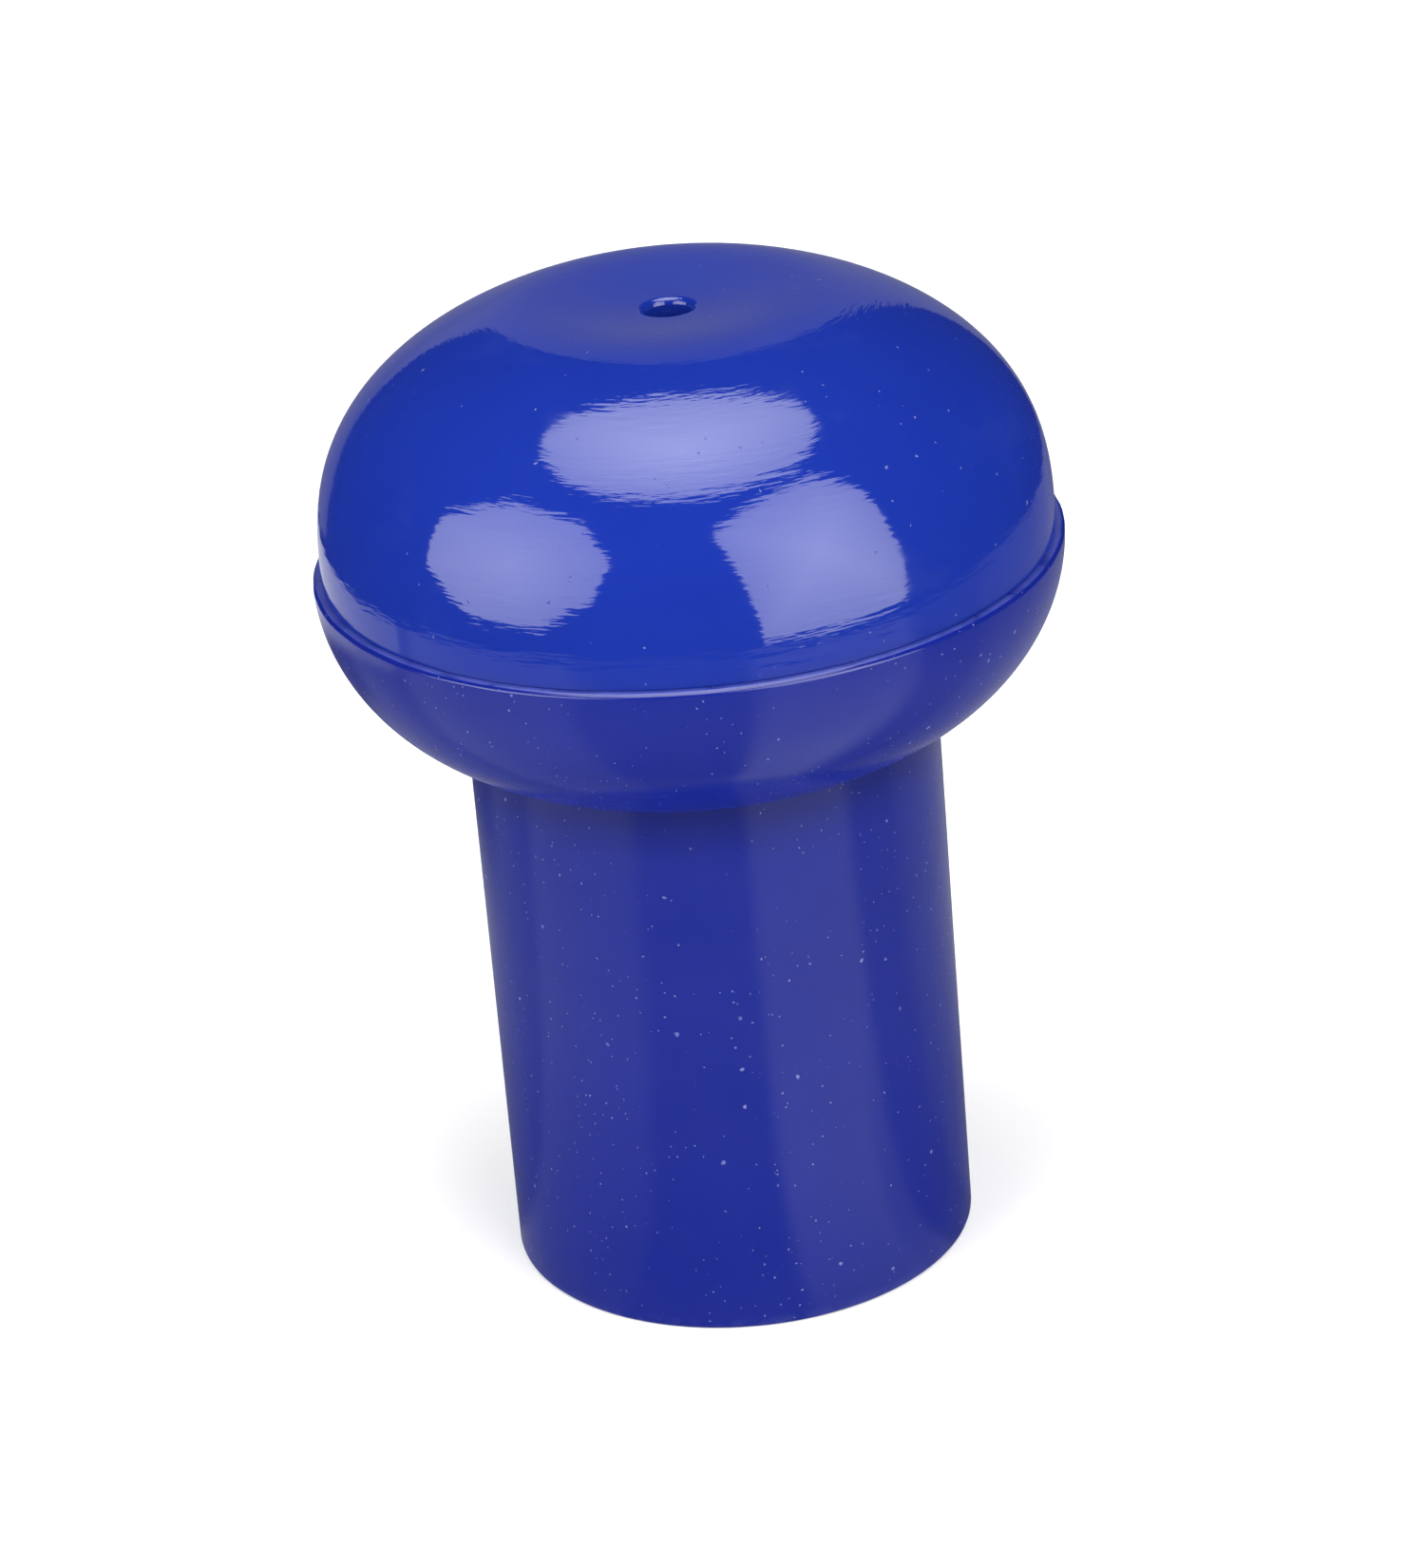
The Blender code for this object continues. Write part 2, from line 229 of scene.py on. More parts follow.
# ---------------------------------------------------------------- the two pieces that show
def make_body(look):
    """Bowl and stem in one moulding, with the slightly uneven rim that the dome stands on."""
    edge, bevel_width, bevel_height, bevel_soft = 0.3 * MM, 0.22 * MM, 0.19 * MM, 0.09 * MM
    stop_z, stop_lip = 23.4 * MM, 9.4 * MM      # the ledge in the stem that the filter bears on
    stop_top = stop_z + 1.5 * MM
    duct, duct_top = 10.9 * MM, 31.3 * MM       # the bore between that ledge and the bowl
    rim_z = SEAM_Z - JOINT
    bowl = list(reversed(bowl_flank(0.0, STEM_RADIUS, BOWL_CENTRE_Z, 64)))
    stem_top = bowl[0][1]
    corners = [(STEM_RADIUS, 0.0, edge)]
    corners += [(STEM_RADIUS, stem_top * i / 12) for i in range(1, 12)]
    corners += bowl
    corners += [(HEAD_RADIUS, rim_z - bevel_height, bevel_soft)]
    corners += [(HEAD_RADIUS - bevel_width, rim_z, bevel_soft)]
    corners += [(RIM_INNER_RADIUS, rim_z, 0.1 * MM), (RIM_INNER_RADIUS, LEDGE_Z)]
    corners += bowl_flank(BODY_WALL, duct + 0.3 * MM, LEDGE_Z, 18)
    corners += [(duct, duct_top), (duct, stop_top, 0.1 * MM), (stop_lip, stop_top, 0.2 * MM)]
    corners += [(stop_lip, stop_z, 0.2 * MM), (STEM_BORE, stop_z, 0.1 * MM), (STEM_BORE, 0.0, edge)]
    piece = turned("bowl_and_stem", softened(corners), FINE, SHARP_FINE)

    unevenness, turns, rim_depth = 0.035 * MM, 13.0, 0.45 * MM
    for vertex in piece.data.vertices:
        out = hypot(vertex.co.x, vertex.co.y)
        if out > HEAD_RADIUS - rim_depth and vertex.co.z > BOWL_CENTRE_Z:
            across, along = vertex.co.x / out, vertex.co.y / out
            swell = noise.noise((across * turns, along * turns, 0.0)) * unevenness
            vertex.co.x += across * swell
            vertex.co.y += along * swell
    fitted(piece, "body", "body_blue", look, "body_shell")


def make_dome(look):
    """The whole soft dome: dished top with the vent's mouth, flank, foot and the skirt in the bowl."""
    skirt_inner, skirt_outer = 16.1 * MM, RIM_INNER_RADIUS - 0.3 * MM
    skirt_z, foot_z = SEAM_Z - 2.8 * MM, SEAM_Z + JOINT
    foot_top = foot_z + 0.35 * MM           # from here up the outline is the dome's own
    mouth = 0.45 * MM                       # how far the vent's mouth is rounded
    boss_foot = BOSS_RADIUS + 0.6 * MM
    boss_neck = BOSS_Z + 0.8 * MM
    corners = [(skirt_inner, skirt_z, 0.2 * MM), (skirt_outer, skirt_z, 0.2 * MM)]
    corners += [(skirt_outer, foot_z), (DOME_RADIUS, foot_z, 0.03 * MM), (DOME_RADIUS, foot_top)]
    flank = dome_flank(0.0, 62.0, 0.0, 90)
    mouth_edge = VENT_SEAT_RADIUS + mouth
    corners += flank + dome_top(flank[-1][0], mouth_edge, 0.0, 60)
    top = dome_height(mouth_edge)
    for i in range(11):
        angle = radians(90 + 90 * i / 10)
        corners.append((mouth_edge + mouth * cos(angle), top - mouth + mouth * sin(angle)))
    corners += [(VENT_SEAT_RADIUS, boss_neck), (VENT_SEAT_RADIUS, BOSS_Z)]
    corners += [(BOSS_RADIUS, BOSS_Z, 0.3 * MM)]
    under = dome_flank(57.0, 3.0, DOME_WALL, 40)
    corners += [(boss_foot, dome_height(BOSS_RADIUS, DOME_WALL))]
    corners += dome_top(boss_foot, under[0][0], DOME_WALL, 14) + under
    corners += [(skirt_inner, foot_top)]
    piece = turned("dome", softened(corners), FINE, SHARP_FINE)
    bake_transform(piece)
    fitted(piece, None, "dome_blue", look, "dome_wall", "dome_crown")


# ---------------------------------------------------------------- the pieces inside
def make_vent_bush(look):
    """A small bush: its barrel lines the vent, its flange holds it under the crown's boss."""
    barrel, flange = VENT_SEAT_RADIUS - 0.03 * MM, BUSH_HIGH.x
    flange_z = BUSH_LOW.z + 0.8 * MM
    corners = [(barrel, BUSH_HIGH.z, 0.12 * MM)]
    corners += [(barrel, flange_z + 0.25 * MM), (barrel, flange_z, 0.1 * MM)]
    corners += [(flange, flange_z, 0.25 * MM), (flange, BUSH_LOW.z, 0.25 * MM)]
    corners += [(VENT_RADIUS, BUSH_LOW.z, 0.2 * MM), (VENT_RADIUS, BUSH_HIGH.z, 0.25 * MM)]
    fitted(turned("vent_bush_moulding", softened(corners)), "crown", "bush_blue", look, "vent_bush")


def make_clamp_ring(look):
    """Ring that presses the dome's skirt against the bowl's rim."""
    inner, outer, foot = 14.6 * MM, 15.8 * MM, RING_HIGH.x
    foot_top = RING_LOW.z + 0.8 * MM
    soft, top_soft = 0.2 * MM, 0.35 * MM
    corners = [(inner, RING_LOW.z, soft), (foot, RING_LOW.z, soft), (foot, foot_top, soft)]
    corners += [(outer, foot_top, soft), (outer, RING_HIGH.z, top_soft)]
    corners += [(inner, RING_HIGH.z, top_soft)]
    ring = turned("clamp_ring_moulding", softened(corners))
    fitted(ring, "body", "ring_white", look, "clamp_ring")


def grid_bars(level):
    """Three bars right across the filter housing, standing on a level and let into its ring."""
    count, width, let_in = 3, 0.9 * MM, 0.6 * MM
    size = (2 * (GRID_RADIUS + let_in), width, BAR_HEIGHT)
    place = (0, 0, level + BAR_HEIGHT / 2)
    return [block(f"bar_{i}", size, place, pi * i / count, 0.18 * MM) for i in range(count)]


def make_filter_housing(look):
    """The filter's cap and seat, each a ring with bars across it."""
    soft = 0.15 * MM
    sunk = 0.02 * MM                        # how far the bars lie below the rings' faces
    corners = [(GRID_RADIUS, CAP_LOW.z, soft), (INSERT_RADIUS, CAP_LOW.z, soft)]
    corners += [(INSERT_RADIUS, CAP_HIGH.z, soft), (GRID_RADIUS, CAP_HIGH.z, 0.6 * MM)]
    cap = turned("filter_cap_moulding", softened(corners))
    cap = combined(cap, grid_bars(CAP_LOW.z + sunk), "UNION")
    fitted(cap, "body", "ring_white", look, "filter_cap")

    groove, half, port, step = 8.8 * MM, 0.9 * MM, 3.2 * MM, 1.2 * MM
    middle = SEAT_LOW.z + 2.2 * MM
    corners = [(port, SEAT_LOW.z, 0.2 * MM), (INSERT_RADIUS, SEAT_LOW.z, 0.2 * MM)]
    corners += [(INSERT_RADIUS, middle - half, soft), (groove, middle - half, soft)]
    corners += [(groove, middle + half, soft), (INSERT_RADIUS, middle + half, soft)]
    corners += [(INSERT_RADIUS, SEAT_HIGH.z, soft), (GRID_RADIUS, SEAT_HIGH.z, soft)]
    corners += [(GRID_RADIUS, SEAT_HIGH.z - step, 0.3 * MM), (port, SEAT_LOW.z + step, 0.3 * MM)]
    seat = turned("filter_seat_moulding", softened(corners))
    seat = combined(seat, grid_bars(SEAT_HIGH.z - BAR_HEIGHT - sunk), "UNION")
    fitted(seat, "body", "ring_white", look, "filter_seat")


def make_membrane(look):
    """The filter's membrane, with a pressed rim."""
    out, dip = DISC_HIGH.x, 0.06 * MM
    rim = out - 1.2 * MM
    low, high = DISC_LOW.z, DISC_HIGH.z
    corners = [(0.0, low + dip), (rim - dip, low + dip), (rim, low, 0.1 * MM)]
    corners += [(out, low, 0.12 * MM), (out, high, 0.12 * MM), (rim, high, 0.1 * MM)]
    corners += [(rim - dip, high - dip), (0.0, high - dip)]
    fitted(turned("filter_membrane", softened(corners)), "body", "membrane", look, "filter_disc")


def make_o_ring(look):
    """The O-ring in the seat's groove."""
    thick = (O_RING_HIGH.z - O_RING_LOW.z) / 2
    centre_radius, centre_z = O_RING_HIGH.x - thick, (O_RING_HIGH.z + O_RING_LOW.z) / 2
    count = 28
    profile = []
    for i in range(count):
        angle = 2 * pi * i / count
        profile.append((centre_radius + thick * cos(angle), centre_z + thick * sin(angle)))
    fitted(turned("o_ring", profile, sharp=60), "body", "nitrile", look, "filter_o_ring")


def make_seal(look):
    """Silicone sleeve: a tapered socket with soft wiper rings that grips a pipette."""
    low, high, out = SEAL_LOW.z, SEAL_HIGH.z, SEAL_HIGH.x
    waist, flange, cone = 8.6 * MM, 1.8 * MM, 3.0 * MM
    mouth, throat = 5.0 * MM, 3.25 * MM
    corners = [(out, low, 0.3 * MM), (out, low + flange, 0.3 * MM), (waist, low + cone, 0.6 * MM)]
    corners += [(waist, high - cone, 0.6 * MM), (out, high - flange, 0.3 * MM), (out, high, 0.3 * MM)]
    corners += [(throat + 0.5 * MM, high, 0.2 * MM), (throat, high - 0.8 * MM, 0.2 * MM)]
    rings, relief, soft = 4, 0.45 * MM, 0.28 * MM
    taper_high, taper_low = high - 1.4 * MM, low + 1.4 * MM
    pitch = (taper_high - taper_low) / rings
    widening = mouth - 0.7 * MM - throat
    for i in range(rings):
        crest_z = taper_high - pitch * i
        crest = throat + widening * i / rings
        corners += [(crest, crest_z, soft), (crest + relief, crest_z - pitch * 0.55, 0.6 * MM)]
    corners += [(mouth - 0.35 * MM, taper_low, 0.4 * MM), (mouth + 0.4 * MM, low, 0.3 * MM)]
    fitted(turned("pipette_socket", softened(corners)), "body", "silicone", look, "pipette_seal")


def make_collar(look):
    """Pressed-in ring that keeps the seal in the stem, with two notches to lift it out by."""
    low, high, out, inner = COLLAR_LOW.z, COLLAR_HIGH.z, COLLAR_HIGH.x, 5.8 * MM
    corners = [(inner + 0.8 * MM, low, 0.3 * MM), (out, low, 0.45 * MM), (out, high, 0.15 * MM)]
    corners += [(inner, high, 0.15 * MM), (inner, low + 0.8 * MM, 0.3 * MM)]
    host = turned("seal_collar_moulding", softened(corners))
    size, place = (2.2 * MM, 2.4 * MM, 2.0 * MM), (out - 0.4 * MM, 0, low)
    notches = [block(f"notch_{i}", size, place, pi * i, 0.25 * MM) for i in range(2)]
    fitted(combined(host, notches, "DIFFERENCE"), "body", "bush_blue", look, "seal_collar")


# ---------------------------------------------------------------- materials
class Look:
    """A node material in the making: its Principled BSDF, and short ways to add nodes before it."""

    def __init__(self, name, roughness, **constants):
        self.material = bpy.data.materials.new(name)
        self.material.use_nodes = True
        self.tree = self.material.node_tree
        self.shader = self.tree.nodes["Principled BSDF"]
        self.place = self.add("ShaderNodeTexCoord").outputs["Object"]
        self.shader.inputs["Roughness"].default_value = roughness
        for socket, value in constants.items():
            self.shader.inputs[socket.replace("_", " ")].default_value = value

    def add(self, kind, inputs=None, **settings):
        """One node; an input is a number, a vector or the socket that feeds it."""
        made = self.tree.nodes.new(kind)
        for name, value in settings.items():
            setattr(made, name, value)
        for key, value in (inputs or {}).items():
            if isinstance(value, bpy.types.NodeSocket):
                self.tree.links.new(value, made.inputs[key])
            else:
                made.inputs[key].default_value = value
        return made

    def math(self, operation, first, second=0.0, clamp=False):
        made = self.add("ShaderNodeMath", {0: first, 1: second}, operation=operation, use_clamp=clamp)
        return made.outputs[0]

    def ramp(self, value, low, high, start=0.0, end=1.0):
        """Value rescaled so that low gives start and high gives end, with a soft and clamped course."""
        limits = {"Value": value, "From Min": low, "From Max": high, "To Min": start, "To Max": end}
        made = self.add("ShaderNodeMapRange", limits, interpolation_type="SMOOTHSTEP")
        return made.outputs["Result"]

    def noise(self, size, detail=2.0, place=None, roughness=0.5, distortion=0.0):
        """Noise whose features are about size metres, or of the place vector's unit."""
        inputs = {"Vector": place or self.place, "Scale": 1 / size, "Detail": detail,
                  "Roughness": roughness, "Distortion": distortion}
        return self.add("ShaderNodeTexNoise", inputs).outputs["Fac"]

    def mix(self, factor, first, second):
        """A colour between two; each is a colour or a socket."""
        made = self.add("ShaderNodeMix", data_type="RGBA")
        for socket, value in ((made.inputs[0], factor), (made.inputs[6], first), (made.inputs[7], second)):
            if isinstance(value, bpy.types.NodeSocket):
                self.tree.links.new(value, socket)
            else:
                socket.default_value = value if isinstance(value, float) else (*value, 1.0)
        return made.outputs[2]

    def bump(self, layers):
        """Stacked bumps, each a height between 0 and 1 and its depth in metres."""
        normal = None
        for height, depth in layers:
            made = self.add("ShaderNodeBump", {"Height": height, "Distance": depth, "Strength": 1.0})
            if normal:
                self.tree.links.new(normal, made.inputs["Normal"])
            normal = made.outputs["Normal"]
        self.tree.links.new(normal, self.shader.inputs["Normal"])

    def drive(self, socket, value):
        self.tree.links.new(value, self.shader.inputs[socket])

    def specks(self, spacing, size, share, gathering):
        """Dust: ragged grains up to size across, one in each cube of the given spacing.

        Only a share of them is kept, and only where a coarse noise of the gathering's size is high.
        """
        ragged = {"Vector": self.place, "Scale": 1 / (size * 1.5), "Detail": 1.0}
        stray = self.add("ShaderNodeTexNoise", ragged).outputs["Color"]
        shift = self.add("ShaderNodeVectorMath", {0: stray, 1: (0.5, 0.5, 0.5)},
                         operation="SUBTRACT").outputs[0]
        bent = self.add("ShaderNodeVectorMath", {0: shift, "Scale": size * 0.9},
                        operation="SCALE").outputs[0]
        place = self.add("ShaderNodeVectorMath", {0: self.place, 1: bent}, operation="ADD").outputs[0]
        cells = self.add("ShaderNodeTexVoronoi", {"Vector": place, "Scale": 1 / spacing, "Randomness": 1.0})
        reach = size / 2 / spacing
        grain = self.ramp(cells.outputs["Distance"], reach * 0.45, reach, 1.0, 0.0)
        chance = self.add("ShaderNodeSeparateColor", {"Color": cells.outputs["Color"]}).outputs[0]
        kept = self.math("LESS_THAN", chance, share)
        gathered = self.ramp(self.noise(gathering, 1.0), 0.42, 0.58)
        return self.math("MULTIPLY", self.math("MULTIPLY", grain, kept), gathered)

    def dust(self, *layers):
        """Several sizes of specks together; each layer is the four arguments of specks."""
        dust = self.specks(*layers[0])
        for layer in layers[1:]:
            dust = self.math("MAXIMUM", dust, self.specks(*layer))
        return dust

    def around(self, pitch, turns):
        """A place vector in which noise runs in long streaks round Z, pitch metres apart."""
        parts = self.add("ShaderNodeSeparateXYZ", {"Vector": self.place}).outputs
        flat = self.add("ShaderNodeCombineXYZ", {"X": parts["X"], "Y": parts["Y"]}).outputs[0]
        out = self.add("ShaderNodeVectorMath", {0: flat}, operation="LENGTH").outputs["Value"]
        unit = self.add("ShaderNodeVectorMath", {0: flat}, operation="NORMALIZE").outputs[0]
        ring = self.add("ShaderNodeVectorMath", {0: unit, "Scale": turns}, operation="SCALE").outputs[0]
        along = self.math("DIVIDE", self.math("SUBTRACT", out, parts["Z"]), pitch)
        rise = self.add("ShaderNodeCombineXYZ", {"Z": along}).outputs[0]
        return self.add("ShaderNodeVectorMath", {0: ring, 1: rise}, operation="ADD").outputs[0]


DUST = (0.105, 0.118, 0.31)             # pale dust with the blue showing through it
BODY_BLUES = (0.0036, 0.0088, 0.132), (0.0046, 0.0112, 0.154)
DOME_BLUES = (0.0048, 0.0152, 0.174), (0.0062, 0.0200, 0.200)
BLUE_SHEEN = {"Sheen_Weight": 0.10, "Sheen_Roughness": 0.35, "Sheen_Tint": (0.03, 0.07, 1.0, 1.0)}


def dome_look():
    """Glossy flexible vinyl with faint rings from the turned mould, finger smudges and a little dust."""
    look = Look("glossy_blue_vinyl", 0.05, IOR=1.5, **BLUE_SHEEN)
    dust = look.dust((1.9 * MM, 0.27 * MM, 0.40, 9.0 * MM), (0.9 * MM, 0.15 * MM, 0.60, 6.0 * MM))
    cloud = look.noise(7.0 * MM, 3.0)
    blue = look.mix(cloud, *DOME_BLUES)
    smudge = look.ramp(look.noise(4.5 * MM, 4.0, distortion=0.6), 0.56, 0.74)
    blue = look.mix(look.math("MULTIPLY", smudge, 0.30), blue, (0.013, 0.026, 0.190))
    look.drive("Base Color", look.mix(look.math("MULTIPLY", dust, 0.7), blue, DUST))
    fine = look.noise(0.5 * MM, 3.0)
    satin = look.ramp(smudge, 0.0, 1.0, 0.045, 0.085)
    uneven = look.math("ADD", satin, look.math("MULTIPLY", fine, 0.02))
    look.drive("Roughness", look.math("ADD", uneven, look.math("MULTIPLY", dust, 0.5), clamp=True))
    rings = look.noise(1.0, 2.0, look.around(0.42 * MM, 7.0), 0.6)
    swell = look.noise(5.0 * MM, 1.0)
    look.bump([(swell, 14e-6), (rings, 15e-6), (dust, 25e-6)])
    return look.material


def body_look():
    """Satin moulded plastic: fine grain, faint flow marks, a rubbed foot, dust, painted shade that darkens
    the colour towards the crease, and a paler rim top that is settled dust and a painted reflection.
    """
    look = Look("satin_blue_plastic", 0.24, IOR=1.48, **BLUE_SHEEN)
    dust = look.dust((1.4 * MM, 0.30 * MM, 0.50, 8.0 * MM), (0.6 * MM, 0.15 * MM, 0.60, 5.0 * MM),
                     (0.42 * MM, 0.11 * MM, 0.45, 3.0 * MM))
    cloud = look.noise(6.0 * MM, 4.0, distortion=0.4)
    blue = look.mix(cloud, *BODY_BLUES)
    grain = look.noise(0.16 * MM, 2.0)
    height = look.add("ShaderNodeSeparateXYZ", {"Vector": look.place}).outputs["Z"]
    rubbed = look.math("MULTIPLY", look.ramp(height, 0.25 * MM, 0.75 * MM, 1.0, 0.0),
                       look.ramp(look.noise(0.9 * MM, 3.0), 0.42, 0.62))
    blue = look.mix(look.math("MULTIPLY", rubbed, 0.25), blue, (0.030, 0.038, 0.200))
    # painted shade: the colour darkens towards the crease between bowl and stem, where shade falls
    from_crease = look.math("ABSOLUTE", look.math("SUBTRACT", height, CREASE_Z))
    crease_shade = look.ramp(from_crease, 0.0, 3.4 * MM, 0.62, 0.0)
    blue = look.mix(crease_shade, blue, (0.0020, 0.0040, 0.060))
    # the rim's top face is painted paler: partly dust settled there, partly a painted reflection of the
    # pale light that glances off it
    rim_dust_and_sheen = look.math("MULTIPLY", look.ramp(height, SEAM_Z - 0.10 * MM, SEAM_Z - 0.04 * MM),
                        look.ramp(look.noise(1.6 * MM, 3.0), 0.25, 0.6, 0.35, 0.9))
    blue = look.mix(rim_dust_and_sheen, blue, (0.034, 0.048, 0.250))
    look.drive("Base Color", look.mix(dust, blue, DUST))
    patch = look.ramp(look.noise(3.2 * MM, 3.0), 0.3, 0.7, 0.11, 0.16)
    worn = look.math("MAXIMUM", look.math("MAXIMUM", dust, rim_dust_and_sheen), look.math("MULTIPLY", rubbed, 0.4))
    uneven = look.math("ADD", patch, look.math("MULTIPLY", worn, 0.3), clamp=True)
    look.drive("Roughness", uneven)
    flow = look.noise(1.0, 2.0, look.around(0.9 * MM, 5.0), 0.5)
    look.bump([(look.noise(4.5 * MM, 1.0), 8e-6), (flow, 3e-6), (grain, 2.5e-6), (dust, 30e-6)])
    return look.material


def moulding_look(name, low, high, roughness, speck_colour):
    """Plain injection-moulded plastic for the pieces inside, with grain, flow marks and a little dust."""
    look = Look(name, roughness, Specular_IOR_Level=0.5)
    dust = look.specks(1.1 * MM, 0.24 * MM, 0.35, 4.0 * MM)
    tone = look.mix(look.noise(3.0 * MM, 4.0, distortion=0.5), low, high)
    look.drive("Base Color", look.mix(dust, tone, speck_colour))
    patch = look.ramp(look.noise(1.2 * MM, 3.0), 0.3, 0.7, roughness - 0.06, roughness + 0.08)
    look.drive("Roughness", look.math("ADD", patch, look.math("MULTIPLY", dust, 0.2), clamp=True))
    marks = look.noise(1.0, 2.0, look.around(0.5 * MM, 5.0), 0.5)
    look.bump([(marks, 3e-6), (look.noise(0.12 * MM, 2.0), 2e-6), (dust, 15e-6)])
    return look.material


def silicone_look():
    """Milky silicone: soft light through it, a faint skin texture and clinging dust."""
    look = Look("milky_silicone", 0.38, IOR=1.41, Subsurface_Weight=0.35, Subsurface_Scale=2.0 * MM,
                Sheen_Weight=0.15)
    dust = look.specks(0.9 * MM, 0.22 * MM, 0.5, 4.0 * MM)
    tone = look.mix(look.noise(3.5 * MM, 3.0), (0.50, 0.53, 0.54), (0.62, 0.64, 0.63))
    look.drive("Base Color", look.mix(dust, tone, (0.30, 0.30, 0.29)))
    look.drive("Roughness", look.ramp(look.noise(0.8 * MM, 3.0), 0.3, 0.7, 0.30, 0.46))
    look.bump([(look.noise(1.0, 2.0, look.around(0.35 * MM, 4.0), 0.5), 4e-6), (dust, 20e-6)])
    return look.material


def membrane_look():
    """White felted membrane: tangled fibres with pores between them."""
    look = Look("white_membrane", 0.85, Sheen_Weight=0.3)
    fibres = look.noise(0.11 * MM, 4.0, roughness=0.7, distortion=2.5)
    pores = look.add("ShaderNodeTexVoronoi", {"Vector": look.place, "Scale": 1 / (0.16 * MM)})
    weave = look.math("MULTIPLY", fibres, look.ramp(pores.outputs["Distance"], 0.05, 0.35, 0.55, 1.0))
    look.drive("Base Color", look.mix(look.ramp(weave, 0.2, 0.6), (0.55, 0.55, 0.52), (0.86, 0.86, 0.84)))
    look.drive("Roughness", look.ramp(fibres, 0.3, 0.7, 0.78, 0.95))
    look.bump([(look.noise(1.5 * MM, 2.0), 15e-6), (weave, 18e-6)])
    return look.material


def nitrile_look():
    """Black rubber with a bloom of moulding talc."""
    look = Look("black_nitrile", 0.5, Specular_IOR_Level=0.4)
    bloom = look.ramp(look.noise(0.7 * MM, 4.0, distortion=0.8), 0.48, 0.72)
    look.drive("Base Color", look.mix(bloom, (0.010, 0.010, 0.011), (0.045, 0.045, 0.045)))
    look.drive("Roughness", look.ramp(bloom, 0.0, 1.0, 0.42, 0.7))
    look.bump([(look.noise(0.2 * MM, 3.0), 5e-6)])
    return look.material


# ---------------------------------------------------------------- studio
FLOOR_GLOW, FAR_GLOW = 0.25, 0.95       # what the floor adds to the lights near the bulb, and far away
CARD_GLOW = 0.80
FLOOR_STEPS = 64


def staged(name, mesh, look, camera=True, glossy=True, diffuse=True, shadow=True):
    """An object of the studio, with the kinds of ray that see it."""
    made = bpy.data.objects.new(name, mesh)
    bpy.context.scene.collection.objects.link(made)
    mesh.materials.append(look)
    made.visible_camera, made.visible_glossy = camera, glossy
    made.visible_diffuse, made.visible_shadow = diffuse, shadow
    return made


def glowing(name):
    """A material that gives light as strongly as its mesh's glow attribute says."""
    made = bpy.data.materials.new(name)
    made.use_nodes = True
    tree = made.node_tree
    tree.nodes.clear()
    light = tree.nodes.new("ShaderNodeEmission")
    source = tree.nodes.new("ShaderNodeAttribute")
    source.attribute_name = "glow"
    tree.links.new(source.outputs["Fac"], light.inputs["Strength"])
    tree.links.new(light.outputs[0], tree.nodes.new("ShaderNodeOutputMaterial").inputs[0])
    return made


def panel(name, azimuth, elevation, distance, corners, middle, edge):
    """A light panel that faces the bulb's head, fading from its middle to its edge.

    Azimuth 0 is in front and 90 to the right; corners are in metres. The edge's strength is a number,
    or a function of the height on the panel.
    """
    head = Vector((0, 0, SEAM_Z + 5 * MM))
    az, el = radians(azimuth), radians(elevation)
    towards = Vector((sin(az) * cos(el), -cos(az) * cos(el), sin(el)))
    made = bmesh.new()
    glow = made.verts.layers.float.new("glow")
    centre = made.verts.new((0, 0, 0))
    centre[glow] = middle
    rim = []
    for x, y in corners:
        vertex = made.verts.new((x, y, 0))
        vertex[glow] = edge(y) if callable(edge) else edge
        rim.append(vertex)
    for first, second in zip(rim, rim[1:] + rim[:1]):
        made.faces.new((centre, first, second))
    mesh = bpy.data.meshes.new(name)
    made.to_mesh(mesh)
    made.free()
    light = staged(name, mesh, glowing(name), camera=False)
    light.location = head + towards * distance
    light.rotation_euler = towards.to_track_quat("Z", "Y").to_euler()


def regular(radius, count, turn=0.0):
    """Corners of a regular polygon."""
    angles = [2 * pi * i / count + turn for i in range(count)]
    return [(radius * cos(angle), radius * sin(angle)) for angle in angles]


def cushion(half_wide, half_high, count=48):
    """Corners of an overhead softbox, a superellipse: square-shouldered on one side, round on the other."""
    square, full = 2 / 3.6, 2 / 1.8
    corners = []
    for i in range(count):
        turn = 2 * pi * i / count
        power = square if sin(turn) > 0 else full
        across = abs(cos(turn)) ** power * (1 if cos(turn) > 0 else -1)
        along = abs(sin(turn)) ** power * (1 if sin(turn) > 0 else -1)
        corners.append((half_wide * across, half_high * along))
    return corners


def smooth(value, low, high):
    """0 below low, 1 above high, and a soft step between."""
    s = min(max((value - low) / (high - low), 0.0), 1.0)
    return s * s * (3 - 2 * s)


def between(azimuth, low, high, soft=4.0):
    """1 between two azimuths and 0 outside them, with soft ends."""
    return smooth(azimuth, low - soft, low + soft) * (1 - smooth(azimuth, high - soft, high + soft))


def table_edge(azimuth):
    """How far the lit tabletop reaches from the bulb, in metres, by azimuth in degrees."""
    return 0.129 + 0.036 * smooth(azimuth, 55, 110)


